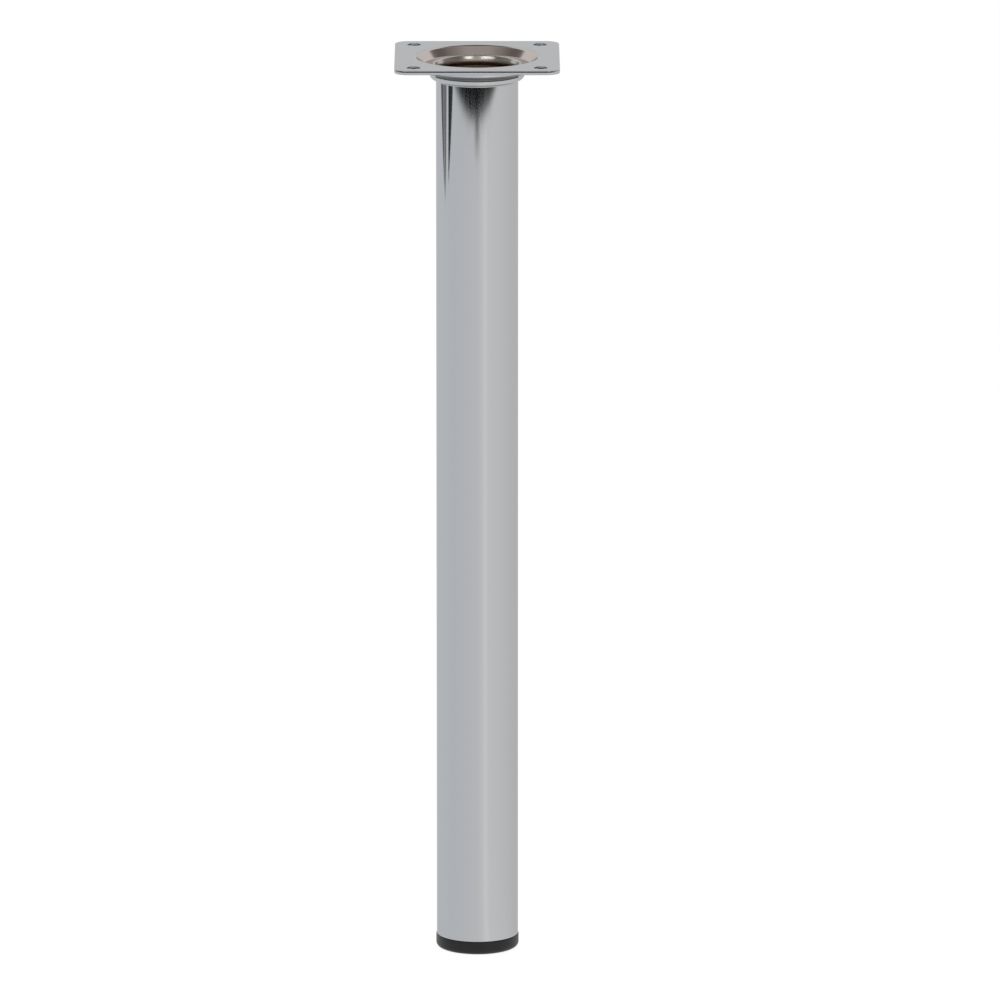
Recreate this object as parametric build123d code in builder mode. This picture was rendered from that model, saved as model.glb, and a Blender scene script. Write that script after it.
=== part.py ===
from build123d import *
import os
from math import cos, radians, sin, tan

# Tubular furniture leg standing on its foot, in millimetres.
# The leg's axis is Z, the floor is z = 0 and the plate's top face is at z = leg_height.

# Leg
leg_height = 334.0           # floor to the plate's top face
tube_diameter = 30.0
tube_wall = 0.8

# Mounting plate
plate_size = 60.0
plate_thickness = 1.5
plate_corner_radius = 5.0
plate_edge_break = 0.4       # top edges, broken after stamping
screw_hole_diameter = 5.0
screw_edge_distance = 7.0    # hole centre to the plate's edge

# Dish pressed into the plate
dish_depth = 3.3             # plate's top face to the dish floor
dish_floor_ring = 5.2        # floor left free around the tube's flange
dish_sheet = 1.2             # the sheet is drawn thinner in the dish
dish_wall_lean = 15.0        # degrees from upright
dish_mouth_bevel = 1.0       # turn from the plate into the dish
dish_corner_bevel = 0.8      # outside corner under the dish floor

# Formed upper end of the tube: a bead below the dish floor and a flared flange above it
seat_clearance = 0.1         # tube in the hole of the dish floor
seat_bevel = 0.8             # hole's upper edge, which the flare turns over
flange_overhang = 1.3        # flange beyond the tube's outside
flare_angle = 60.0           # mouth of the bore, degrees above level
flare_depth = 1.8            # flange's top down to where the flare's side would meet the bore
flare_lip_round = 1.2        # from the flange into the flare
flare_throat_round = 3.5     # from the flare into the bore
bead_overhang = 2.95         # bead beyond the tube's outside
bead_height = 4.4
bead_flank_angle = 20.0      # lower side of the bead, degrees above level
bead_foot_bevel = 0.4        # hollow where the bead runs into the tube

# Plastic foot
foot_head_height = 5.0
foot_head_overhang = 0.2     # head beyond the tube's outside
foot_edge_round = 1.7
foot_floor = 3.0             # plastic under the hollow of the stem
stem_length = 18.0
stem_wall = 1.8
rib_count = 6
rib_height = 2.5             # rib from the stem out to the bore
rib_thickness = 1.6
rib_lead = 1.2               # slanted upper end of each rib
rib_clearance = 0.1          # rib in the tube's bore

# Radii from the axis
tube_radius = tube_diameter / 2
bore_radius = tube_radius - tube_wall
seat_radius = tube_radius + seat_clearance
flange_radius = tube_radius + flange_overhang
dish_floor_radius = flange_radius + dish_floor_ring
rib_radius = bore_radius - rib_clearance
stem_radius = rib_radius - rib_height

# Levels above the floor
plate_under_level = leg_height - plate_thickness
dish_floor_level = leg_height - dish_depth
dish_under_level = dish_floor_level - dish_sheet
flange_level = dish_floor_level + tube_wall
bead_foot_level = dish_under_level - bead_height
stem_top_level = foot_head_height + stem_length


def corner(sketch, point):
    """The corner of a sketch that lies at a point of its plane."""
    return sketch.vertices().sort_by_distance((*point, 0))[0]


def dish_wall(level):
    """Inner and outer radius of the leaning dish wall at a level."""
    inner = dish_floor_radius + (level - dish_floor_level) * tan(radians(dish_wall_lean))
    return inner, inner + dish_sheet / cos(radians(dish_wall_lean))


# Square plate with the pressed dish
dish_mouth = (dish_wall(leg_height)[0], leg_height)
dish_root = (dish_wall(plate_under_level)[1], plate_under_level)
dish_outside = (dish_wall(dish_under_level)[1], dish_under_level)
dish_seat = (seat_radius, dish_floor_level)
dish_rim_radius = dish_root[0] + dish_mouth_bevel
screw_spacing = plate_size - 2 * screw_edge_distance

with BuildPart() as mount_plate:
    with BuildSketch(Plane.XY.offset(plate_under_level)):
        RectangleRounded(plate_size, plate_size, plate_corner_radius)
    extrude(amount=plate_thickness)
    chamfer(mount_plate.faces().sort_by(Axis.Z)[-1].edges(), plate_edge_break)
    with Locations(Plane.XY.offset(leg_height)):
        Hole(dish_rim_radius)
        with GridLocations(screw_spacing, screw_spacing, 2, 2):
            Hole(screw_hole_diameter / 2)
    with BuildSketch(Plane.XZ) as dish_section:
        with BuildLine():
            Polyline(
                dish_seat,
                (dish_floor_radius, dish_floor_level),
                dish_mouth,
                (dish_rim_radius, leg_height),
                (dish_rim_radius, plate_under_level),
                dish_root,
                dish_outside,
                (seat_radius, dish_under_level),
                close=True,
            )
        make_face()
        chamfer(corner(dish_section, dish_mouth), dish_mouth_bevel)
        chamfer(corner(dish_section, dish_outside), dish_corner_bevel)
        chamfer(corner(dish_section, dish_seat), seat_bevel)
    revolve(axis=Axis.Z)

# Tube with its beaded and flared end. The bead's crest is one arc, tangent to the dish's underside
# and to the bead's lower flank. The groove inside it follows that arc one wall further in, in two straights.
flank = radians(bead_flank_angle)
crest_radius = (bead_height * cos(flank) - bead_overhang * sin(flank)) / (1 + cos(flank) - sin(flank))
crest_centre = (tube_radius + bead_overhang - crest_radius, dish_under_level - crest_radius)
crest_start = bead_flank_angle - 90
crest_sweep = 180 - bead_flank_angle
bead_foot = (tube_radius, bead_foot_level)
groove_foot = (bore_radius, bead_foot_level + tube_wall * (1 / cos(flank) - tan(flank)))
flange_seat = (tube_radius, dish_floor_level)
flare_lip = (bore_radius + flare_depth / tan(radians(flare_angle)), flange_level)
flare_throat = (bore_radius, flange_level - flare_depth)

with BuildPart() as leg_tube:
    with BuildSketch(Plane.XZ) as tube_section:
        with BuildLine():
            crest = CenterArc(crest_centre, crest_radius, crest_start, crest_sweep)
            groove = CenterArc(
                crest_centre, crest_radius - tube_wall, crest_start, crest_sweep, mode=Mode.PRIVATE
            )
            Polyline(
                crest @ 1,
                (tube_radius, dish_under_level),
                flange_seat,
                (flange_radius, dish_floor_level),
                (flange_radius, flange_level),
                flare_lip,
                flare_throat,
                (bore_radius, dish_under_level - tube_wall),
                groove @ 1,
                groove @ 0.5,
                groove @ 0,
                groove_foot,
                (bore_radius, foot_head_height),
                (tube_radius, foot_head_height),
                bead_foot,
                crest @ 0,
            )
        make_face()
        chamfer(corner(tube_section, bead_foot), bead_foot_bevel)
        chamfer(corner(tube_section, flange_seat), seat_bevel)
        fillet(corner(tube_section, flare_lip), flare_lip_round)
        fillet(corner(tube_section, flare_throat), flare_throat_round)
    revolve(axis=Axis.Z)

# Foot: the head stands on the floor and the tube stands on the head.
# The ribs on the hollow stem grip the bore.
with BuildPart() as foot_plug:
    with BuildSketch():
        Circle(tube_radius + foot_head_overhang)
    extrude(amount=foot_head_height)
    fillet(foot_plug.edges().sort_by(Axis.Z)[0], foot_edge_round)
    with BuildSketch(Plane.XY.offset(foot_head_height)):
        Circle(stem_radius)
    extrude(amount=stem_length)
    with BuildSketch(Plane.XZ) as rib_side:
        with BuildLine():
            Polyline(
                (stem_radius - stem_wall / 2, foot_head_height),
                (rib_radius, foot_head_height),
                (rib_radius, stem_top_level),
                (stem_radius - stem_wall / 2, stem_top_level),
                close=True,
            )
        make_face()
        chamfer(corner(rib_side, (rib_radius, stem_top_level)), rib_lead)
    rib = extrude(amount=rib_thickness / 2, both=True, mode=Mode.PRIVATE)
    with PolarLocations(0, rib_count):
        add(rib)
    with Locations(Plane.XY.offset(stem_top_level)):
        Hole(stem_radius - stem_wall, depth=stem_top_level - foot_floor)

mount_plate.part.label = "mount_plate"
leg_tube.part.label = "leg_tube"
foot_plug.part.label = "foot_plug"

os.makedirs("parts", exist_ok=True)
export_step(mount_plate.part, "parts/mount_plate.step")
export_step(leg_tube.part, "parts/leg_tube.step")
export_step(foot_plug.part, "parts/foot_plug.step")
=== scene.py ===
import math

import bpy
import numpy as np
from bpy.props import FloatProperty, FloatVectorProperty, IntProperty, PointerProperty
from bpy.types import Operator, Panel, PropertyGroup
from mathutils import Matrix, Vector


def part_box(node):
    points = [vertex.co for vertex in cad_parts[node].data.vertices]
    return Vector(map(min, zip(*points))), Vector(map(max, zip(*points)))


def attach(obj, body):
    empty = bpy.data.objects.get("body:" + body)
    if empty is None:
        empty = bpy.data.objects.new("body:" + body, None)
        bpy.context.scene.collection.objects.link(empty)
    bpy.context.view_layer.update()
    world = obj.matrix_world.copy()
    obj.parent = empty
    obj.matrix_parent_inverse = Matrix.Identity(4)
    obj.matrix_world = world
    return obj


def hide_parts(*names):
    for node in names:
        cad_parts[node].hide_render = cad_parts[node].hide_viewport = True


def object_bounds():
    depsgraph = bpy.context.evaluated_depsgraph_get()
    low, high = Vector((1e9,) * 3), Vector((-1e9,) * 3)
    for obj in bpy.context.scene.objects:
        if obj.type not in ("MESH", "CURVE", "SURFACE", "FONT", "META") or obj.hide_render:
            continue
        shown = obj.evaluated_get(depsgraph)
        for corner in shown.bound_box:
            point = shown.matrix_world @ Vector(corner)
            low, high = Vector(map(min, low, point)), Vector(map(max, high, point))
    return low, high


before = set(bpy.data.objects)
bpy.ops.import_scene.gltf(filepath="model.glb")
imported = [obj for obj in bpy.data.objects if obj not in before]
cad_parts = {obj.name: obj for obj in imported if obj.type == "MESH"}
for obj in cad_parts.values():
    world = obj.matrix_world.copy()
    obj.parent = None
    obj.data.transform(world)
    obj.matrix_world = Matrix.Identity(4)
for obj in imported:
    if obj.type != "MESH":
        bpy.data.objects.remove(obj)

bl_info = {
    "name": "Chromed Furniture Leg",
    "version": (1, 0, 0),
    "blender": (4, 5, 0),
    "location": "View3D > Sidebar > Furniture Leg",
    "description": "Builds the visible pieces of a tubular furniture leg and a studio to show it in",
    "category": "Object",
}

# The leg stands on the floor z = 0 with its axis along Z and shows its front towards -Y.
# Lengths are in metres.

CAD_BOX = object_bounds()
PLATE_LOW, PLATE_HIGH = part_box("mount_plate")
TUBE_LOW, TUBE_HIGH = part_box("leg_tube")
FOOT_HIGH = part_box("foot_plug")[1]

WELD_DISTANCE = 1e-6     # points of neighbouring grids closer than this are one point
BOX_TOLERANCE = 5e-5     # how far a piece may leave the box of the node it stands for
LEVEL_TOLERANCE = 1e-4   # how far from a level face its mask reaches

# Grids
SIDE_PARTS = 48          # middle of a side of the plate
CELL_PARTS = 24          # inner side of the square cell around a screw hole
CELL_REACH = 2.1         # that side from the hole's centre, in hole radii
RIM_PARTS = 16           # each straight, and the arc, around a corner of the plate
FACE_ROWS = 6            # flat face between two loops
TUBE_COLUMNS = 288
TUBE_ARC_POINTS = 13
TUBE_ROW = 0.012         # longest row along the tube
GAP_COLUMNS = 10         # half of the gap between two ribs of the foot
RIB_COLUMNS = 5
RIB_FLANK = 1.02         # where a rib's side has come down to the stem, in half ribs
FOOT_SHARP = math.radians(40)    # turns of the foot from which an edge is shaded sharp
FLOOR_RINGS = 9
FLOOR_COLUMNS = 192

# Lamps, aimed at the plate. Angles are in degrees.
LAMP_DISTANCE = 3.0
LAMP_RISE = 48.0
LAMP_HEIGHT = 0.3
FRONT_LAMPS = (          # name, turn to the right of the front, width and radiance
    ("lamp_right", 30.0, 0.9, 2.2),
    ("lamp_left", -37.0, 1.7, 1.9),
)
UPPER_LAMP = ("lamp_above", 2.0, 9.0)    # name, side and radiance

# Cards on the floor: name, start and end as distance from the leg and turn to the right of the front,
# width at the end, brightness and height above the floor
CARDS = (
    ("grey_card", (1.43, -98.0), (1.9, -103.0), 0.75, 0.26, 0.0003),
    ("dark_card_left", (1.42, -100.0), (1.9, -121.0), 0.3, 0.15, 0.0006),
    ("dark_card_right", (1.47, -88.0), (1.85, -80.0), 0.6, 0.05, 0.0006),
)


def length(name, default, description):
    """A size in metres that a user may change."""
    return FloatProperty(
        name=name, description=description, default=default, min=0, precision=5, unit="LENGTH"
    )


def colour(name, default, description):
    """A linear colour that a user may change."""
    return FloatVectorProperty(
        name=name, description=description, default=default, size=3, min=0, max=1, subtype="COLOR"
    )


def share(name, default, description):
    """A plain number that a user may change."""
    return FloatProperty(name=name, description=description, default=default, min=0, precision=3)


def angle(name, default, description):
    """An angle, given in degrees, that a user may change."""
    return FloatProperty(name=name, description=description, default=math.radians(default), subtype="ANGLE")


class PlateProperties(PropertyGroup):
    """Sizes of the square mounting plate and the dish pressed into it."""

    width: length("Width", PLATE_HIGH.x - PLATE_LOW.x, "Side of the square plate")
    top: length("Top", PLATE_HIGH.z, "Level of the plate's top face")
    thickness: length("Thickness", 0.0015, "Sheet of the plate")
    corner_radius: length("Corner radius", 0.005, "Rounded corners of the square")
    top_edge: length("Top edge", 0.0003, "Rolled upper edge of the outline")
    edge_land: length("Edge land", 0.00065, "Upright part of the sheared outline, from the top face")
    edge_lean: angle("Edge lean", 8.0, "Lean of the outline below that, in towards its lower edge")
    lower_edge: length("Lower edge", 0.0002, "Broken lower edge of the outline")
    hole_radius: length("Hole radius", 0.0025, "Screw holes")
    hole_inset: length("Hole inset", 0.007, "Hole centre to the plate's edge")
    hole_edge: length("Hole edge", 0.0003, "Rolled upper edge of a screw hole")
    dish_depth: length("Dish depth", 0.0033, "Top face to the dish floor")
    dish_floor_radius: length("Dish floor radius", 0.0215, "Dish floor, one sheet within the outside")
    dish_sheet: length("Dish sheet", 0.0012, "Sheet drawn thinner in the dish")
    dish_lean: angle("Dish lean", 15.0, "Outside of the dish wall from upright")
    dish_shoulder: length("Dish shoulder", 0.0017, "Round mouth of the dish")
    dish_foot_radius: length("Dish foot radius", 0.0198, "Where the wall's gentler inside meets the floor")
    dish_corner: length("Dish corner", 0.0005, "Hollow between the dish wall and the dish floor")
    dish_root: length("Dish root", 0.0012, "Hollow between the dish and the plate's underside")
    dish_outer: length("Dish outer", 0.0012, "Outside corner under the dish floor")
    seat_radius: length("Seat radius", 0.0151, "Hole in the dish floor that the tube passes")
    seat_edge: length("Seat edge", 0.0009, "Round upper edge of that hole, which the tube turns over")


class TubeProperties(PropertyGroup):
    """Sizes of the tube with its bead and flange."""

    radius: length("Radius", 0.015, "Outside of the tube")
    wall: length("Wall", 0.0008, "Wall of the tube")
    bottom: length("Bottom", TUBE_LOW.z, "Level of the tube's lower end")
    flange_top: length("Flange top", TUBE_HIGH.z, "Level of the flange's upper face")
    flange_overhang: length("Flange overhang", 0.0013, "Flange beyond the tube's outside")
    flange_edge: length("Flange edge", 0.0003, "Rounded rim of the flange")
    flare_angle: angle("Flare angle", 60.0, "Mouth of the bore above level")
    flare_depth: length("Flare depth", 0.0018, "Flange's top to where the flare's side meets the bore")
    flare_lip: length("Flare lip", 0.0008, "Round from the flange into the flare")
    flare_throat: length("Flare throat", 0.003, "Round from the flare into the bore")
    bead_overhang: length("Bead overhang", 0.00235, "Bead beyond the tube's outside")
    bead_height: length("Bead height", 0.0042, "Bead along the tube")
    bead_flank: angle("Bead flank", 20.0, "Lower side of the bead above level")
    bead_foot: length("Bead foot", 0.0003, "Hollow where the bead runs into the tube")


class FootProperties(PropertyGroup):
    """Sizes of the plastic foot."""

    head_radius: length("Head radius", FOOT_HIGH.x, "Outside of the head")
    head_height: length("Head height", TUBE_LOW.z, "Floor to the end of the tube")
    edge: length("Edge", 0.0017, "Rounded lower edge")
    rim: length("Rim", 0.0003, "Rounded upper edge")
    stem_radius: length("Stem radius", 0.0116, "Hollow stem inside the tube")
    stem_wall: length("Stem wall", 0.0018, "Wall of the stem")
    stem_top: length("Stem top", FOOT_HIGH.z, "Level of the stem's upper end")
    floor: length("Floor", 0.003, "Plastic under the hollow of the stem")
    rib_count: IntProperty(name="Ribs", description="Ribs round the stem", default=6, min=3)
    rib_height: length("Rib height", 0.0025, "Rib from the stem out to the bore")
    rib_width: length("Rib width", 0.0016, "Thickness of a rib")
    rib_lead: length("Rib lead", 0.0012, "Slanted upper end of a rib")


class FinishProperties(PropertyGroup):
    """Colours and gloss of the platings and the plastic, with painted shade under the plate and in the bore.
    """

    plate_chrome: colour("Plate chrome", (0.535, 0.55, 0.575), "Bright chrome of the plate")
    tube_chrome: colour("Tube chrome", (0.545, 0.55, 0.56), "Bright chrome of the tube")
    nickel: colour("Nickel", (0.63, 0.56, 0.53), "Thin plating in the dish, where the nickel shows through")
    flange: colour("Flange", (0.55, 0.53, 0.49), "Thin plating on the tube's formed end")
    # bare steel inside the bore, darkened further as painted shade of the deep bore
    bore_steel_and_shade: colour("Bore steel", (0.26, 0.18, 0.13), "Bare browned steel inside the bore")
    # painted shade: a dark colour for the plate's underside and the dish's outside, standing in for the
    # shade under the plate
    underside: colour("Underside", (0.20, 0.195, 0.195), "Thin dull plating under the plate")
    plastic: colour("Plastic", (0.007, 0.007, 0.0073), "Black moulded foot")
    nickel_reach: length("Nickel reach", 0.0004, "Warm plating beyond the dish floor's radius")
    nickel_fade: length("Nickel fade", 0.0008, "Width over which it gives way to the chrome")
    dish_roughness: share("Dish roughness", 0.14, "Drawn sheet in the dish")
    sheared_roughness: share("Sheared roughness", 0.25, "Broken part of the plate's outline")
    flange_roughness: share("Flange roughness", 0.22, "Formed end of the tube")
    bore_roughness: share("Bore roughness", 0.4, "Bare steel")
    plastic_wear: share("Plastic wear", 1.8, "How many times as bright the high spots of the grain are")


class StageProperties(PropertyGroup):
    """Camera, floor and studio."""

    distance: length("Distance", 4.372, "Camera to the leg's mid-height")
    pitch: angle("Pitch", 12.73, "Camera above the leg's mid-height")
    lens: share("Lens", 429.4, "Focal length in millimetres for a sensor 36 mm wide")
    aim_right: length("Aim right", 0.00833, "Aim point to the right of the leg's axis")
    aim_up: length("Aim up", 0.00151, "Aim point above the leg's mid-height")
    floor_radius: length("Floor radius", 2.6, "Pale round floor")
    floor_centre: length("Floor centre", 0.2, "Centre of the floor behind the leg")
    floor_right: length("Floor right", 0.018, "Centre of the floor's lit part to the right of the leg")
    floor_lit: length("Floor lit", 1.82, "Radius of the floor that mirrors show fully lit")
    floor_dark: length("Floor dark", 1.87, "Radius from which mirrors show the floor dark")
    tip_width: length("Tip width", 0.32, "Half width of the soft tip of the floor's lit part, in front")
    tip_core: length("Tip core", 0.02, "Half width within which that tip is fully dimmed")
    tip_length: length("Tip length", 0.09, "How far the tip reaches into the lit part")
    tip_dimming: share("Tip dimming", 0.9, "Share of the light that the tip loses")
    floor_white: share("Floor white", 0.93, "Share of the floor's white that no shadow dims")
    backdrop: share("Backdrop", 0.82, "Brightness of the backdrop behind the leg")
    room: share("Room", 0.18, "Brightness of the room beside the leg")
    ceiling: share("Ceiling", 0.04, "Brightness of the ceiling")


def sizes(group):
    """The values of a property group of the scene."""
    return getattr(bpy.context.scene, "furniture_leg_" + group)


# Surfaces: grids of points whose columns close into a ring


def outline(corners, closed=False, arc_points=9):
    """Straights between corners (across, up, radius), each corner rounded by an arc of its radius.

    An arc touches its two straights at radius * tan(turn / 2) from the corner, and its heading turns
    evenly from the one to the other. Returns the points, and their normals to the right of the way,
    which point outwards where the solid lies to the left.
    """
    corners = np.asarray(corners, float)
    if closed:
        corners = np.vstack([corners[-1:], corners, corners[:1]])
    place = corners[:, :2]
    way = np.diff(place, axis=0)
    way /= np.linalg.norm(way, axis=1, keepdims=True)
    heading = np.arctan2(way[:, 1], way[:, 0])
    turn = (np.diff(heading) + np.pi) % (2 * np.pi) - np.pi
    radius = corners[1:-1, 2]
    start = place[1:-1] - way[:-1] * (radius * np.tan(np.abs(turn) / 2))[:, None]
    headings = heading[:-1, None] + turn[:, None] * np.linspace(0, 1, arc_points)
    normals = np.stack([np.sin(headings), -np.cos(headings)], axis=-1)
    reach = (radius * np.sign(turn))[:, None, None]
    points = (start[:, None] + reach * (normals - normals[:, :1])).reshape(-1, 2)
    normals = normals.reshape(-1, 2)
    if not closed:
        points = np.vstack([place[:1], points, place[-1:]])
        normals = np.vstack([normals[:1], normals, normals[-1:]])
    return points, normals


def with_shorter_runs(points, normals, longest):
    """The same outline with points added evenly on each run that is longer than a given length."""
    run = np.linalg.norm(np.diff(points, axis=0), axis=1)
    parts = np.maximum(1, np.ceil(run / longest)).astype(int)
    place = np.concatenate([[0], np.cumsum(run)])
    step = np.arange(parts.sum()) - np.repeat(np.cumsum(parts) - parts, parts)
    at = np.append(np.repeat(place[:-1], parts) + step * np.repeat(run / parts, parts), place[-1])
    columns = [np.interp(at, place, values) for values in np.hstack([points, normals]).T]
    return np.stack(columns[:2], axis=-1), np.stack(columns[2:], axis=-1)


def grid(points, normals, closed_rows=False):
    """Points, normals and quads of a grid (rows, columns, 3): each quad joins a point to the next
    column and the next row, so it faces along the columns' way crossed with the rows' way."""
    rows, columns = points.shape[:2]
    index = np.arange(rows * columns).reshape(rows, columns)
    here, above = index[:-1], index[1:]
    if closed_rows:
        here, above = index, np.roll(index, -1, axis=0)
    quads = np.stack([here, np.roll(here, -1, axis=1), np.roll(above, -1, axis=1), above], axis=-1)
    return points.reshape(-1, 3), normals.reshape(-1, 3), quads.reshape(-1, 4)


def turned(profile, normals, angles, centre=(0, 0), closed_rows=False):
    """A profile (radius, level) turned about an upright axis: x = radius cos a, y = radius sin a."""
    ring = np.stack([np.cos(angles), np.sin(angles)], axis=-1)

    def carry(values):
        flat = values[:, None, :1] * ring
        return np.concatenate([flat, np.broadcast_to(values[:, None, 1:], flat.shape[:2] + (1,))], axis=-1)

    return grid(carry(profile) + np.array([*centre, 0.0]), carry(normals), closed_rows)


def carried(profile, normals, path, outward):
    """A profile (offset, level) carried along a closed path, offset along the path's outward normals."""

    def lift(flat, level):
        return np.concatenate([flat, np.broadcast_to(level[:, None, None], flat.shape[:2] + (1,))], axis=-1)

    points = lift(path + profile[:, None, :1] * outward, profile[:, 1])
    return grid(points, lift(normals[:, None, :1] * outward, normals[:, 1]))


def ruled(first, last, level, rows, up):
    """A level face ruled between two closed loops of as many points, from the first to the last."""
    part = np.linspace(0, 1, rows + 1)[:, None, None]
    flat = first + part * (last - first)
    points = np.concatenate([flat, np.full(flat.shape[:2] + (1,), level)], axis=-1)
    return grid(points, np.broadcast_to([0.0, 0.0, up], points.shape))


def welded(patches):
    """Points, normals and faces of several grids, with the points of shared borders made one.

    A quad that has shrunk to a triangle at a pole loses its doubled corner, and one that has shrunk to
    a line, where an arc starts right at the border of a grid, is left out.
    """
    counts = np.cumsum([0] + [len(points) for points, _, _ in patches])
    points = np.concatenate([points for points, _, _ in patches])
    normals = np.concatenate([normals for _, normals, _ in patches])
    quads = np.concatenate([quads + count for (_, _, quads), count in zip(patches, counts)])
    keys = np.round(points / WELD_DISTANCE).astype(np.int64)
    _, first, inverse = np.unique(keys, axis=0, return_index=True, return_inverse=True)
    quads = inverse.reshape(-1)[quads]
    doubled = quads == np.roll(quads, -1, axis=1)
    lost = doubled.sum(axis=1)
    triangles = quads[lost == 1][~doubled[lost == 1]].reshape(-1, 3)
    return points[first], normals[first], quads[lost == 0].tolist() + triangles.tolist()


def new_mesh_object(name, points, faces, material):
    """A smooth-shaded mesh object at the origin, with its place in its mesh."""
    mesh = bpy.data.meshes.new(name)
    mesh.from_pydata(points.tolist(), [], faces)
    mesh.shade_smooth()
    mesh.materials.append(material)
    made = bpy.data.objects.new(name, mesh)
    bpy.context.scene.collection.objects.link(made)
    return made


def new_piece(name, node, patches, material, sharp_angle=None):
    """A piece of the leg that stands for a CAD node, with the normals of its own formulas."""
    points, normals, faces = welded(patches)
    piece = new_mesh_object(name, points, faces, material)
    if sharp_angle is None:
        piece.data.normals_split_custom_set_from_vertices(normals.tolist())
    else:
        piece.data.set_sharp_from_angle(angle=sharp_angle)
    low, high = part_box(node)
    too_low = points.min(0) < np.array(low) - BOX_TOLERANCE
    too_high = points.max(0) > np.array(high) + BOX_TOLERANCE
    if too_low.any() or too_high.any():
        raise RuntimeError(f"{name} leaves the box of {node}")
    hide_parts(node)
    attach(piece, "root")
    return piece


# Mounting plate


def quarter_turns(loop):
    """A chain of points in one quarter and its copies in the other three, as one closed loop."""
    x, y = loop.T
    return np.concatenate([np.stack(pair, axis=-1) for pair in ((x, y), (-y, x), (-x, -y), (y, -x))])


def straight(start, end, parts):
    """Evenly spaced points from a start up to, but without, an end."""
    return np.asarray(start) + np.arange(parts)[:, None] / parts * np.subtract(end, start)


def plate_loops(plate):
    """The loops that the plate's flat faces are ruled between, for the quarter around +X +Y.

    The face is a cross, which the dish's circle is in the middle of, and four square cells, each
    around a screw hole and clear of the dish. Side, cell and rim chains share their points where they meet.
    """
    half = plate.width / 2 - plate.top_edge
    cell = plate.hole_inset - plate.top_edge
    inner = half - cell - CELL_REACH * plate.hole_radius
    bend = plate.corner_radius - plate.top_edge
    turn = np.linspace(0, np.pi / 2, RIM_PARTS + 1)[:-1, None]
    arc_normals = np.hstack([np.cos(turn), np.sin(turn)])
    side = straight((half, -inner), (half, inner), SIDE_PARTS)
    cell_edges = [
        straight((half, inner), (inner, inner), CELL_PARTS),
        straight((inner, inner), (inner, half), CELL_PARTS),
    ]
    rim = [
        straight((half, inner), (half, half - bend), RIM_PARTS),
        half - bend + bend * arc_normals,
        straight((half - bend, half), (inner, half), RIM_PARTS),
    ]
    cell_back = [
        straight((inner, half), (inner, inner), CELL_PARTS),
        straight((inner, inner), (half, inner), CELL_PARTS),
    ]
    outward = np.vstack([
        np.tile((1.0, 0.0), (SIDE_PARTS + RIM_PARTS, 1)),
        arc_normals,
        np.tile((0.0, 1.0), (RIM_PARTS, 1)),
    ])
    return {
        "cross": quarter_turns(np.vstack([side, *cell_edges])),
        "path": quarter_turns(np.vstack([side, *rim])),
        "outward": quarter_turns(outward),
        "cell": np.vstack([*rim, *cell_back]),
        "hole_centre": np.array([half - cell, half - cell]),
    }


def plate_patches(plate):
    """The plate as grids: two flat faces, the outline's edge, the turned dish and the screw holes."""
    under = plate.top - plate.thickness
    dish_floor = plate.top - plate.dish_depth
    dish_under = dish_floor - plate.dish_sheet
    slope = math.tan(plate.dish_lean)
    wall = plate.dish_sheet / math.cos(plate.dish_lean)

    def wall_radius(level):
        return plate.dish_floor_radius + (level - dish_floor) * slope

    rim_radius = wall_radius(under) + wall + plate.dish_root
    dish = outline([
        (rim_radius, plate.top, 0),
        (wall_radius(plate.top), plate.top, plate.dish_shoulder),
        (plate.dish_foot_radius, dish_floor, plate.dish_corner),
        (plate.seat_radius, dish_floor, plate.seat_edge),
        (plate.seat_radius, dish_under, plate.lower_edge),
        (wall_radius(dish_under) + wall, dish_under, plate.dish_outer),
        (wall_radius(under) + wall, under, plate.dish_root),
        (rim_radius, under, 0),
    ])
    broken = (plate.thickness - plate.edge_land) * math.tan(plate.edge_lean)
    edge = outline([
        (0, under, 0),
        (plate.top_edge - broken, under, plate.lower_edge / 2),
        (plate.top_edge, plate.top - plate.edge_land, plate.lower_edge),
        (plate.top_edge, plate.top, plate.top_edge),
        (0, plate.top, 0),
    ])
    bore = outline([
        (plate.hole_radius + plate.hole_edge, plate.top, 0),
        (plate.hole_radius, plate.top, plate.hole_edge),
        (plate.hole_radius, under, plate.lower_edge),
        (plate.hole_radius + plate.hole_edge, under, 0),
    ])
    loops = plate_loops(plate)
    cross = loops["cross"]
    round_angles = np.arctan2(cross[:, 1], cross[:, 0])
    circle = rim_radius * np.stack([np.cos(round_angles), np.sin(round_angles)], axis=-1)
    patches = [
        turned(*dish, round_angles),
        carried(*edge, loops["path"], loops["outward"]),
        ruled(cross, circle, plate.top, FACE_ROWS, 1.0),
        ruled(circle, cross, under, FACE_ROWS, -1.0),
    ]
    quarter_turn = np.array([[0.0, 1.0], [-1.0, 0.0]])
    for quarter in range(4):
        spin = np.linalg.matrix_power(quarter_turn, quarter)
        cell = loops["cell"] @ spin
        centre = loops["hole_centre"] @ spin
        hole_angles = np.arctan2(*(cell - centre).T[::-1])
        ring = np.stack([np.cos(hole_angles), np.sin(hole_angles)], axis=-1)
        hole = centre + (plate.hole_radius + plate.hole_edge) * ring
        patches.append(turned(*bore, hole_angles, centre))
        patches.append(ruled(cell, hole, plate.top, FACE_ROWS, 1.0))
        patches.append(ruled(hole, cell, under, FACE_ROWS, -1.0))
    return patches


# Tube


def bead_crest(tube, plate):
    """Radius and centre (radius from the axis, level) of the arc that the bead's crest follows.

    The arc touches the dish's underside and the bead's lower flank.
    """
    dish_under = tube.flange_top - tube.wall - plate.dish_sheet
    rise, run = math.sin(tube.bead_flank), math.cos(tube.bead_flank)
    crest = (tube.bead_height * run - tube.bead_overhang * rise) / (1 + run - rise)
    return crest, (tube.radius + tube.bead_overhang - crest, dish_under - crest)


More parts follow.
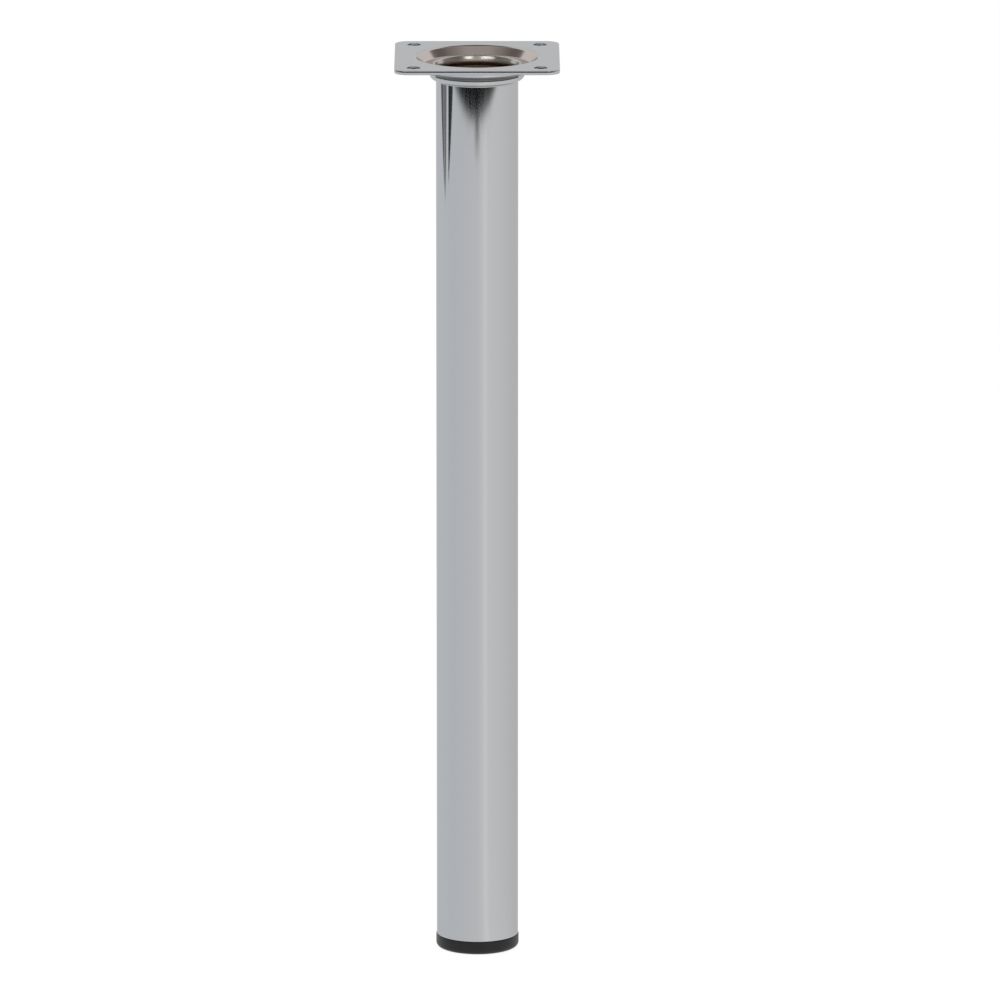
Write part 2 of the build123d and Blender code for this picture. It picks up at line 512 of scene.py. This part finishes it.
def tube_patches(tube, plate):
    """The tube as one turned grid: wall, bead, neck and flange outside, flare, groove and bore inside.

    The groove behind the bead follows the bead's crest one wall further in.
    """
    bore = tube.radius - tube.wall
    dish_floor = tube.flange_top - tube.wall
    dish_under = dish_floor - plate.dish_sheet
    foot = dish_under - tube.bead_height
    rise, run = math.sin(tube.bead_flank), math.cos(tube.bead_flank)
    crest, _ = bead_crest(tube, plate)
    groove_top = dish_under - tube.wall
    groove_foot = foot + tube.wall * (1 - rise) / run
    broken = tube.wall / 5
    profile = outline([
        (tube.radius, dish_under, broken),
        (tube.radius, dish_floor, plate.seat_edge),
        (tube.radius + tube.flange_overhang, dish_floor, broken),
        (tube.radius + tube.flange_overhang, tube.flange_top, tube.flange_edge),
        (bore + tube.flare_depth / math.tan(tube.flare_angle), tube.flange_top, tube.flare_lip),
        (bore, tube.flange_top - tube.flare_depth, tube.flare_throat),
        (bore, groove_top, broken),
        (bore + (groove_top - groove_foot) * run / rise, groove_top, crest - tube.wall),
        (bore, groove_foot, tube.bead_foot),
        (bore, tube.bottom, broken),
        (tube.radius, tube.bottom, broken),
        (tube.radius, foot, tube.bead_foot),
        (tube.radius + tube.bead_height * run / rise, dish_under, crest),
    ], closed=True, arc_points=TUBE_ARC_POINTS)
    angles = np.linspace(0, 2 * np.pi, TUBE_COLUMNS, endpoint=False)
    return [turned(*with_shorter_runs(*profile, TUBE_ROW), angles, closed_rows=True)]


# Foot


def foot_patches(foot):
    """The foot as one turned grid whose stem wall stands out at the ribs.

    On the stem the radius grows by the rib's height where the angle is within a rib, less the slanted
    lead at its upper end.
    """
    hollow = foot.stem_radius - foot.stem_wall
    profile, normals = with_shorter_runs(*outline([
        (0, 0, 0),
        (foot.head_radius, 0, foot.edge),
        (foot.head_radius, foot.head_height, foot.rim),
        (foot.stem_radius, foot.head_height, foot.rim / 2),
        (foot.stem_radius, foot.stem_top, foot.rim),
        (hollow, foot.stem_top, foot.rim),
        (hollow, foot.floor, foot.rim),
        (0, foot.floor, 0),
    ]), foot.rib_lead)
    pitch = 2 * np.pi / foot.rib_count
    half_rib = foot.rib_width / 2 / (foot.stem_radius + foot.rib_height / 2)
    flank = RIB_FLANK * half_rib
    within = np.concatenate([
        np.linspace(-pitch / 2, -flank, GAP_COLUMNS),
        np.linspace(-half_rib, half_rib, RIB_COLUMNS),
        np.linspace(flank, pitch / 2, GAP_COLUMNS)[:-1],
    ])
    angles = (np.arange(foot.rib_count)[:, None] * pitch + within).ravel()
    on_rib = np.tile(np.abs(within) <= half_rib, foot.rib_count)
    points, normals, quads = turned(profile, normals, angles)
    radius = np.linalg.norm(points[:, :2], axis=1)
    near_stem = (radius > foot.stem_radius - foot.rim) & (radius < foot.stem_radius + foot.rim)
    on_stem = near_stem & (points[:, 2] > foot.head_height)
    lead = np.clip(points[:, 2] - foot.stem_top + foot.rib_lead, 0, None)
    grown = np.where(on_stem & np.tile(on_rib, len(profile)), radius + foot.rib_height - lead, radius)
    points[:, :2] *= (grown / np.maximum(radius, WELD_DISTANCE))[:, None]
    return [(points, normals, quads)]


# Materials


def add_node(tree, kind, inputs=None, **settings):
    """A node with its settings, and its inputs set to values or linked to other nodes' outputs."""
    made = tree.nodes.new(kind)
    for name, value in settings.items():
        setattr(made, name, value)
    for socket, value in (inputs or {}).items():
        if isinstance(value, bpy.types.NodeSocket):
            tree.links.new(value, made.inputs[socket])
        else:
            made.inputs[socket].default_value = value
    return made


def add_ramp(tree, factor, stops):
    """A colour ramp through stops of position and colour."""
    made = add_node(tree, "ShaderNodeValToRGB", {"Fac": factor})
    elements = made.color_ramp.elements
    while len(elements) < len(stops):
        elements.new(1.0)
    for element, (position, tone) in zip(elements, stops):
        element.position = position
        element.color = (*tone, 1.0)
    return made.outputs["Color"]


def math_value(tree, operation, *values):
    """The result of a math node."""
    return add_node(tree, "ShaderNodeMath", dict(enumerate(values)), operation=operation).outputs[0]


def ranged(tree, value, start, end, kind="SMOOTHSTEP", top=1.0):
    """A value that goes from 0 to a top as another one goes from a start to an end."""
    made = add_node(tree, "ShaderNodeMapRange", {
        "Value": value, "From Min": start, "From Max": end, "To Max": top,
    }, interpolation_type=kind)
    return made.outputs["Result"]


def axes(tree, vector):
    """The outputs X, Y and Z of a vector."""
    return add_node(tree, "ShaderNodeSeparateXYZ", {0: vector}).outputs


def flattened(tree, vector):
    """A vector without its Z."""
    made = add_node(tree, "ShaderNodeVectorMath", {0: vector, 1: (1.0, 1.0, 0.0)}, operation="MULTIPLY")
    return made.outputs["Vector"]


def from_axis(tree, place):
    """The distance of a place from the leg's axis."""
    made = add_node(tree, "ShaderNodeVectorMath", {0: flattened(tree, place)}, operation="LENGTH")
    return made.outputs["Value"]


def bumped(tree, height, strength, distance):
    """A normal that follows a height."""
    made = add_node(tree, "ShaderNodeBump", {"Strength": strength, "Distance": distance, "Height": height})
    return made.outputs["Normal"]


def mixed_shader(tree, factor, first, second):
    """A shader that goes from the first to the second as the factor goes from 0 to 1."""
    return add_node(tree, "ShaderNodeMixShader", {0: factor, 1: first, 2: second}).outputs[0]


def emission(tree, tone):
    """A shader that glows in a colour, given or linked."""
    if not isinstance(tone, bpy.types.NodeSocket):
        tone = (*tone, 1.0)
    return add_node(tree, "ShaderNodeEmission", {"Color": tone, "Strength": 1.0}).outputs[0]


def new_group(name, inputs, outputs):
    """An empty shader node group with named sockets, and its input and output nodes."""
    tree = bpy.data.node_groups.new(name, "ShaderNodeTree")
    for socket, kind in inputs.items():
        tree.interface.new_socket(name=socket, in_out="INPUT", socket_type=kind)
    for socket, kind in outputs.items():
        tree.interface.new_socket(name=socket, in_out="OUTPUT", socket_type=kind)
    return tree, tree.nodes.new("NodeGroupInput").outputs, tree.nodes.new("NodeGroupOutput")


def surface_marks_group():
    """Node group: fine marks and broad haze of a worked surface, as a roughness and a height."""
    name = "surface_marks"
    if name in bpy.data.node_groups:
        return bpy.data.node_groups[name]
    tree, given, out = new_group(
        name,
        {"Vector": "NodeSocketVector", "Mark Scale": "NodeSocketFloat", "Haze Scale": "NodeSocketFloat",
         "Smooth": "NodeSocketFloat", "Hazy": "NodeSocketFloat"},
        {"Roughness": "NodeSocketFloat", "Height": "NodeSocketFloat"},
    )
    haze = add_node(tree, "ShaderNodeTexNoise", {
        "Vector": given["Vector"], "Scale": given["Haze Scale"], "Detail": 3.0})
    marks = add_node(tree, "ShaderNodeTexNoise", {
        "Vector": given["Vector"], "Scale": given["Mark Scale"], "Detail": 6.0, "Roughness": 0.65})
    both = math_value(tree, "MULTIPLY", haze.outputs["Fac"], marks.outputs["Fac"])
    spread = add_node(tree, "ShaderNodeMapRange", {
        "Value": both, "From Min": 0.12, "From Max": 0.42,
        "To Min": given["Smooth"], "To Max": given["Hazy"]})
    tree.links.new(spread.outputs["Result"], out.inputs["Roughness"])
    tree.links.new(marks.outputs["Fac"], out.inputs["Height"])
    return tree


def within_radius_group():
    """Node group: a mask that is one inside a radius around the leg's axis and fades out over a feather."""
    name = "within_radius"
    if name in bpy.data.node_groups:
        return bpy.data.node_groups[name]
    tree, given, out = new_group(
        name,
        {"Vector": "NodeSocketVector", "Radius": "NodeSocketFloat", "Feather": "NodeSocketFloat"},
        {"Mask": "NodeSocketFloat"},
    )
    radius = from_axis(tree, given["Vector"])
    outer = math_value(tree, "ADD", given["Radius"], given["Feather"])
    tree.links.new(ranged(tree, radius, outer, given["Radius"]), out.inputs["Mask"])
    return tree


def new_material(name):
    """A material with an empty Principled shader, its tree and its Object coordinates."""
    material = bpy.data.materials.new(name)
    material.use_nodes = True
    tree = material.node_tree
    shader = tree.nodes["Principled BSDF"]
    place = add_node(tree, "ShaderNodeTexCoord").outputs["Object"]
    return material, tree, shader, place


def mixed_colour(tree, factor, first, second):
    """A colour that goes from the first to the second as the factor goes from 0 to 1."""
    made = add_node(tree, "ShaderNodeMix", data_type="RGBA")
    for socket, value in zip((made.inputs[0], made.inputs[6], made.inputs[7]), (factor, first, second)):
        if isinstance(value, bpy.types.NodeSocket):
            tree.links.new(value, socket)
        else:
            socket.default_value = (*value, 1.0)
    return made.outputs[2]


def mixed_value(tree, factor, first, second):
    """A value that goes from the first to the second as the factor goes from 0 to 1."""
    made = add_node(tree, "ShaderNodeMix", {0: factor, 2: first, 3: second})
    return made.outputs[0]


def set_plated(tree, shader, base, roughness, normal):
    """Sets up a Principled shader as plated metal, which brightens little at a grazing view."""
    tree.links.new(base, shader.inputs["Base Color"])
    tree.links.new(roughness, shader.inputs["Roughness"])
    tree.links.new(normal, shader.inputs["Normal"])
    shader.inputs["Metallic"].default_value = 1.0
    shader.inputs["Specular Tint"].default_value = (0.8, 0.8, 0.8, 1.0)


def plate_chrome_material(finish, plate):
    """Bright chrome over nickel: warmer in the dish and duller on the sheared outline. Underneath and on the
    dish's outside it is darker, as painted shade.

    The levels that part the dish from the underside lie within the dish's sheet, where the tube hides it.
    """
    material, tree, shader, place = new_material("plate_chrome")
    dish_floor = plate.top - plate.dish_depth
    half = plate.width / 2
    level = axes(tree, place)["Z"]
    central = add_node(tree, "ShaderNodeGroup", {
        "Vector": place,
        "Radius": plate.dish_floor_radius + finish.nickel_reach,
        "Feather": finish.nickel_fade,
    }, node_tree=within_radius_group()).outputs["Mask"]
    upper_side = math_value(tree, "GREATER_THAN", level, dish_floor - 0.25 * plate.dish_sheet)
    in_dish = math_value(tree, "MULTIPLY", central, upper_side)
    marks = add_node(tree, "ShaderNodeGroup", {
        "Vector": place, "Mark Scale": 2600.0, "Haze Scale": 90.0, "Smooth": 0.06, "Hazy": 0.11,
    }, node_tree=surface_marks_group()).outputs
    away = add_node(tree, "ShaderNodeVectorMath", {0: place}, operation="ABSOLUTE")
    parts = axes(tree, away.outputs["Vector"])
    furthest = math_value(tree, "MAXIMUM", parts["X"], parts["Y"])
    rim = ranged(tree, furthest, half - plate.top_edge, half - plate.lower_edge, "LINEAR")
    below_land = math_value(tree, "LESS_THAN", level, plate.top - plate.edge_land)
    sheared = math_value(tree, "MULTIPLY", rim, below_land)
    # painted shade: the flat underside and everything below the dish floor take the darker underside colour
    below_plate = math_value(tree, "COMPARE", level, plate.top - plate.thickness, LEVEL_TOLERANCE)
    outside = math_value(tree, "SUBTRACT", 1.0, in_dish)
    flat_under = math_value(tree, "MULTIPLY", below_plate, outside)
    below_dish = math_value(tree, "LESS_THAN", level, dish_floor - 0.4 * plate.dish_sheet)
    painted_under_shade = math_value(tree, "MAXIMUM", flat_under, below_dish)
    upper = mixed_colour(tree, in_dish, finish.plate_chrome, finish.nickel)
    base = mixed_colour(tree, painted_under_shade, upper, finish.underside)
    pressed = mixed_value(tree, in_dish, marks["Roughness"], finish.dish_roughness)
    roughness = mixed_value(tree, sheared, pressed, finish.sheared_roughness)
    set_plated(tree, shader, base, roughness, bumped(tree, marks["Height"], 0.05, 0.00005))
    return material


def bore_mask(tree, place, tube, plate):
    """A mask of the tube's inside: the bore, and the groove by its distance from the bead's centre, both
    below the flare, over which the plating ends and the bore's painted shade sets in.

    The borders of bore and groove lie within the wall, where no surface is.
    """
    crest, centre = bead_crest(tube, plate)
    radius = from_axis(tree, place)
    level = axes(tree, place)["Z"]
    section = add_node(tree, "ShaderNodeCombineXYZ", {0: radius, 1: level}).outputs["Vector"]
    to_centre = add_node(tree, "ShaderNodeVectorMath", {
        0: section, 1: (*centre, 0.0)}, operation="DISTANCE").outputs["Value"]
    bore = ranged(tree, radius, tube.radius - 0.2 * tube.wall, tube.radius - 0.4 * tube.wall)
    groove = ranged(tree, to_centre, crest - 0.4 * tube.wall, crest - 0.6 * tube.wall)
    inside = math_value(tree, "MAXIMUM", bore, groove)
    plated_to = tube.flange_top - 0.55 * tube.flare_depth
    bare_from = tube.flange_top - 1.45 * tube.flare_depth
    return math_value(tree, "MULTIPLY", inside, ranged(tree, level, plated_to, bare_from))


def tube_chrome_material(finish, tube, plate):
    """Bright chrome on the drawn tube, whose marks run along it, a thinner and duller plating on the
    flange and bare steel in the bore, whose colour is darkened as painted shade."""
    material, tree, shader, place = new_material("tube_chrome")
    in_bore = bore_mask(tree, place, tube, plate)
    drawn = add_node(tree, "ShaderNodeMapping", {"Vector": place, "Scale": (1.0, 1.0, 0.04)})
    marks = add_node(tree, "ShaderNodeGroup", {
        "Vector": drawn.outputs["Vector"], "Mark Scale": 1800.0, "Haze Scale": 120.0,
        "Smooth": 0.025, "Hazy": 0.045,
    }, node_tree=surface_marks_group()).outputs
    level = axes(tree, place)["Z"]
    on_flange = math_value(tree, "GREATER_THAN", level, tube.flange_top - tube.flare_depth)
    plated = mixed_colour(tree, on_flange, finish.tube_chrome, finish.flange)
    # painted shade: the bore and the groove take the dark bore colour
    base = mixed_colour(tree, in_bore, plated, finish.bore_steel_and_shade)
    polished = mixed_value(tree, on_flange, marks["Roughness"], finish.flange_roughness)
    roughness = mixed_value(tree, in_bore, polished, finish.bore_roughness)
    set_plated(tree, shader, base, roughness, bumped(tree, marks["Height"], 0.02, 0.00002))
    return material


def foot_plastic_material(finish):
    """Black moulded plastic with a fine eroded grain and a little haze."""
    material, tree, shader, place = new_material("foot_plastic")
    marks = add_node(tree, "ShaderNodeGroup", {
        "Vector": place, "Mark Scale": 5200.0, "Haze Scale": 160.0, "Smooth": 0.3, "Hazy": 0.48,
    }, node_tree=surface_marks_group()).outputs
    worn = tuple(min(1.0, finish.plastic_wear * part) for part in finish.plastic)
    base = mixed_colour(tree, marks["Height"], finish.plastic, worn)
    tree.links.new(base, shader.inputs["Base Color"])
    tree.links.new(marks["Roughness"], shader.inputs["Roughness"])
    tree.links.new(bumped(tree, marks["Height"], 0.25, 0.00004), shader.inputs["Normal"])
    shader.inputs["Specular IOR Level"].default_value = 0.36
    return material


# Stage


def grey(value, warmth=0.0):
    """A grey of a brightness, with its red raised and its blue lowered by a warmth."""
    return value * (1 + warmth), value, value * (1 - warmth)


def studio_world(stage):
    """White to the camera. Lit and mirrored surfaces see a studio: behind the leg a pale backdrop under a
    dark ceiling, beside it a dim warm room and in front of it a lighter one.

    The sine of the elevation, from -1 to 1, is spread over each ramp from 0 to 1. The way's part along Y
    goes from 1 straight behind the leg to -1 straight in front of it.
    """
    world = bpy.data.worlds.new("studio")
    world.use_nodes = True
    tree = world.node_tree
    tree.nodes.clear()
    way = add_node(tree, "ShaderNodeTexCoord").outputs["Generated"]
    level = add_node(tree, "ShaderNodeVectorMath", {0: flattened(tree, way)}, operation="NORMALIZE")
    backward = axes(tree, level.outputs["Vector"])["Y"]
    height = ranged(tree, axes(tree, way)["Z"], -1.0, 1.0, "LINEAR")
    behind = add_ramp(tree, height, [
        (0.0, grey(stage.backdrop)), (0.90, grey(stage.backdrop)), (0.935, grey(stage.ceiling, 0.05))])
    beside = add_ramp(tree, height, [
        (0.49, grey(0.02)), (0.5, grey(stage.room, 0.1)), (0.62, grey(stage.room, 0.1)),
        (0.76, grey(0.26, 0.05)), (0.82, grey(0.15, 0.05)), (0.865, grey(0.15, 0.05)),
        (0.9, grey(0.24, 0.05)), (0.94, grey(0.33, 0.05)), (1.0, grey(0.45, 0.05))])
    before = add_ramp(tree, height, [
        (0.5, grey(0.012)), (0.53, grey(0.1, 0.06)), (0.6, grey(0.16, 0.06)), (0.64, grey(0.6, 0.06)),
        (0.67, grey(0.82, 0.03)), (0.72, grey(0.72, 0.03)), (0.8, grey(0.5, 0.03)), (0.9, grey(0.44, 0.03)),
        (1.0, grey(0.38, 0.03))])
    front = ranged(tree, backward, -0.5, -0.95)
    back = ranged(tree, backward, 0.47, 0.52)
    room = mixed_colour(tree, front, beside, before)
    studio = mixed_colour(tree, back, room, behind)
    seen = add_node(tree, "ShaderNodeBackground", {"Color": studio, "Strength": 1.0}).outputs[0]
    white = add_node(tree, "ShaderNodeBackground", {
        "Color": (1.0, 1.0, 1.0, 1.0), "Strength": 1.0}).outputs[0]
    path = add_node(tree, "ShaderNodeLightPath").outputs
    both = mixed_shader(tree, path["Is Camera Ray"], seen, white)
    add_node(tree, "ShaderNodeOutputWorld", {"Surface": both})
    return world


def floor_material(stage):
    """Pale floor: white with a faint shadow to the camera. In reflections its brightness changes with the
    direction from the leg, counted from the front, and in front it lies in the dark beyond its lit part,
    which ends in a soft tip. Seen from below it is clear."""
    material, tree, shader, place = new_material("pale_floor")
    tree.nodes.remove(shader)
    lit = add_node(tree, "ShaderNodeBsdfDiffuse", {"Color": (0.9, 0.9, 0.9, 1.0)}).outputs[0]
    direct = mixed_shader(tree, stage.floor_white, lit, emission(tree, (1.0, 1.0, 1.0)))
    from_front = add_node(tree, "ShaderNodeMapping", {
        "Vector": place, "Rotation": (0.0, 0.0, math.pi / 2)}).outputs["Vector"]
    around = add_node(tree, "ShaderNodeTexGradient", {"Vector": from_front}, gradient_type="RADIAL")
    tones = add_ramp(tree, around.outputs["Fac"], [
        (0.08, grey(0.87, -0.03)), (0.16, grey(0.83, -0.03)), (0.30, grey(0.79, -0.03)),
        (0.42, grey(0.81, -0.02)), (0.50, grey(0.83, -0.01)), (0.53, grey(0.88)), (0.56, grey(0.98)),
        (0.59, grey(0.90)), (0.66, grey(0.87)), (0.74, grey(0.83)), (0.80, grey(0.80)), (0.92, grey(0.80))])
    from_centre = add_node(tree, "ShaderNodeVectorMath", {
        0: place, 1: (stage.floor_right, stage.floor_centre, 0.0)}, operation="DISTANCE").outputs["Value"]
    far = ranged(tree, from_centre, stage.floor_lit, stage.floor_dark)
    parts = axes(tree, place)
    aside = math_value(tree, "ABSOLUTE", parts["X"])
    ahead = ranged(tree, aside, stage.tip_width, stage.tip_core)
    tip_start = stage.floor_lit - stage.tip_length
    fading = ranged(tree, from_centre, tip_start, stage.floor_dark, "LINEAR", stage.tip_dimming)
    beyond = math_value(tree, "MAXIMUM", far, math_value(tree, "MULTIPLY", ahead, fading))
    front = ranged(tree, parts["Y"], 0.3, -1.0)
    unlit = math_value(tree, "MULTIPLY", beyond, front)
    mirrored = emission(tree, mixed_colour(tree, unlit, tones, grey(0.006)))
    path = add_node(tree, "ShaderNodeLightPath").outputs
    upper = mixed_shader(tree, path["Is Glossy Ray"], direct, mirrored)
    clear = add_node(tree, "ShaderNodeBsdfTransparent").outputs[0]
    under = add_node(tree, "ShaderNodeNewGeometry").outputs["Backfacing"]
    whole = mixed_shader(tree, under, upper, clear)
    tree.links.new(whole, tree.nodes["Material Output"].inputs["Surface"])
    return material


def add_floor(stage):
    """A round floor at level 0: points at radius r and angle a around its centre behind the leg."""
    radii = stage.floor_radius * np.linspace(0, 1, FLOOR_RINGS)[::-1]
    profile = np.stack([radii, np.zeros_like(radii)], axis=-1)
    normals = np.tile((0.0, 1.0), (len(radii), 1))
    angles = np.linspace(0, 2 * np.pi, FLOOR_COLUMNS, endpoint=False)
    points, _, faces = welded([turned(profile, normals, angles, (0, stage.floor_centre))])
    floor = new_mesh_object("floor", points, faces, floor_material(stage))
    return floor


def around_leg(distance, turn, rise=0.0):
    """A point at a distance from the leg's foot, turned by degrees to the right of the front and raised."""
    turn, rise = math.radians(turn), math.radians(rise)
    flat = math.cos(rise)
    return Vector((math.sin(turn) * flat, -math.cos(turn) * flat, math.sin(rise))) * distance


def add_softbox(name, place, aim, width, height, radiance):
    """An oblong area lamp that the camera doesn't see. Its energy is 4 times its area times its radiance."""
    lamp = bpy.data.lights.new(name, "AREA")
    lamp.shape = "RECTANGLE"
    lamp.size = width
    lamp.size_y = height
    lamp.energy = 4 * width * height * radiance
    made = bpy.data.objects.new(name, lamp)
    made.location = place
    made.rotation_euler = (Vector(aim) - place).to_track_quat("-Z", "Y").to_euler()
    made.visible_camera = False
    bpy.context.scene.collection.objects.link(made)
    return made


def card_material(name, brightness):
    """A grey that only mirrors show."""
    material, tree, shader, _ = new_material(name)
    tree.nodes.remove(shader)
    clear = add_node(tree, "ShaderNodeBsdfTransparent").outputs[0]
    path = add_node(tree, "ShaderNodeLightPath").outputs
    both = mixed_shader(tree, path["Is Glossy Ray"], clear, emission(tree, grey(brightness)))
    tree.links.new(both, tree.nodes["Material Output"].inputs["Surface"])
    return material


def add_card(name, start, end, width, brightness, lift):
    """A strip that widens from nothing at a start to a width at an end, lying just above the floor."""
    side = (end - start).cross(Vector((0, 0, 1))).normalized() * width / 2
    points = np.array([start, end + side, end - side]) + (0, 0, lift)
    card = new_mesh_object(name, points, [(0, 1, 2)], card_material(name, brightness))
    return card


def add_camera(stage):
    """A long lens at the photograph's angle, aimed beside the leg's mid-height as its framing asks."""
    middle = Vector((0, 0, (CAD_BOX[0].z + CAD_BOX[1].z) / 2))
    back = Vector((0, -math.cos(stage.pitch), math.sin(stage.pitch)))
    right = Vector((1, 0, 0))
    upward = back.cross(right)
    camera = bpy.data.cameras.new("camera")
    camera.sensor_width = 36.0
    camera.lens = stage.lens
    camera.clip_end = 100.0
    made = bpy.data.objects.new("camera", camera)
    made.location = middle + back * stage.distance
    target = middle + right * stage.aim_right + upward * stage.aim_up
    made.rotation_euler = (target - made.location).to_track_quat("-Z", "Y").to_euler()
    bpy.context.scene.collection.objects.link(made)
    bpy.context.scene.camera = made
    return made


# Operators


class FURNITURELEG_OT_plate(Operator):
    """Build the square mounting plate with its pressed dish and screw holes"""

    bl_idname = "furniture_leg.plate"
    bl_label = "Mounting Plate"

    def execute(self, context):
        plate = sizes("plate")
        material = plate_chrome_material(sizes("finish"), plate)
        new_piece("plate_shell", "mount_plate", plate_patches(plate), material)
        return {"FINISHED"}


class FURNITURELEG_OT_tube(Operator):
    """Build the tube with its bead and flange"""

    bl_idname = "furniture_leg.tube"
    bl_label = "Tube"

    def execute(self, context):
        tube = sizes("tube")
        plate = sizes("plate")
        material = tube_chrome_material(sizes("finish"), tube, plate)
        new_piece("tube_shell", "leg_tube", tube_patches(tube, plate), material)
        return {"FINISHED"}


class FURNITURELEG_OT_foot(Operator):
    """Build the plastic foot with its ribbed stem"""

    bl_idname = "furniture_leg.foot"
    bl_label = "Plastic Foot"

    def execute(self, context):
        material = foot_plastic_material(sizes("finish"))
        patches = foot_patches(sizes("foot"))
        new_piece("foot_moulding", "foot_plug", patches, material, FOOT_SHARP)
        return {"FINISHED"}


class FURNITURELEG_OT_stage(Operator):
    """Set up the floor, the studio light and the camera"""

    bl_idname = "furniture_leg.stage"
    bl_label = "Studio"

    def execute(self, context):
        stage = sizes("stage")
        context.scene.view_settings.view_transform = "Standard"
        context.scene.world = studio_world(stage)
        add_floor(stage)
        top = Vector((0, 0, PLATE_HIGH.z))
        for name, turn, width, radiance in FRONT_LAMPS:
            place = top + around_leg(LAMP_DISTANCE, turn, LAMP_RISE)
            add_softbox(name, place, top, width, LAMP_HEIGHT, radiance)
        name, side, radiance = UPPER_LAMP
        upper = add_softbox(name, top + Vector((0, 0, LAMP_DISTANCE)), top, side, side, radiance)
        upper.visible_glossy = False
        for name, start, end, width, brightness, lift in CARDS:
            add_card(name, around_leg(*start), around_leg(*end), width, brightness, lift)
        add_camera(stage)
        return {"FINISHED"}


class FURNITURELEG_PT_pieces(Panel):
    """Lists the leg's pieces and their sizes"""

    bl_idname = "FURNITURELEG_PT_pieces"
    bl_label = "Furniture Leg"
    bl_space_type = "VIEW_3D"
    bl_region_type = "UI"
    bl_category = "Furniture Leg"

    def draw(self, context):
        for group in ("plate", "tube", "foot", "stage"):
            box = self.layout.box()
            box.operator("furniture_leg." + group)
            for name in GROUPS[group].__annotations__:
                box.prop(sizes(group), name)
        finish = self.layout.box()
        for name in FinishProperties.__annotations__:
            finish.prop(sizes("finish"), name)


GROUPS = {
    "plate": PlateProperties,
    "tube": TubeProperties,
    "foot": FootProperties,
    "finish": FinishProperties,
    "stage": StageProperties,
}
CLASSES = (
    *GROUPS.values(),
    FURNITURELEG_OT_plate,
    FURNITURELEG_OT_tube,
    FURNITURELEG_OT_foot,
    FURNITURELEG_OT_stage,
    FURNITURELEG_PT_pieces,
)


def register():
    for each in CLASSES:
        bpy.utils.register_class(each)
    for name, group in GROUPS.items():
        setattr(bpy.types.Scene, "furniture_leg_" + name, PointerProperty(type=group))


def unregister():
    for name in GROUPS:
        delattr(bpy.types.Scene, "furniture_leg_" + name)
    for each in reversed(CLASSES):
        bpy.utils.unregister_class(each)


def main():
    """Registers the classes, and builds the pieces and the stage."""
    register()
    bpy.ops.furniture_leg.plate()
    bpy.ops.furniture_leg.tube()
    bpy.ops.furniture_leg.foot()
    bpy.ops.furniture_leg.stage()


if __name__ == "__main__":
    main()
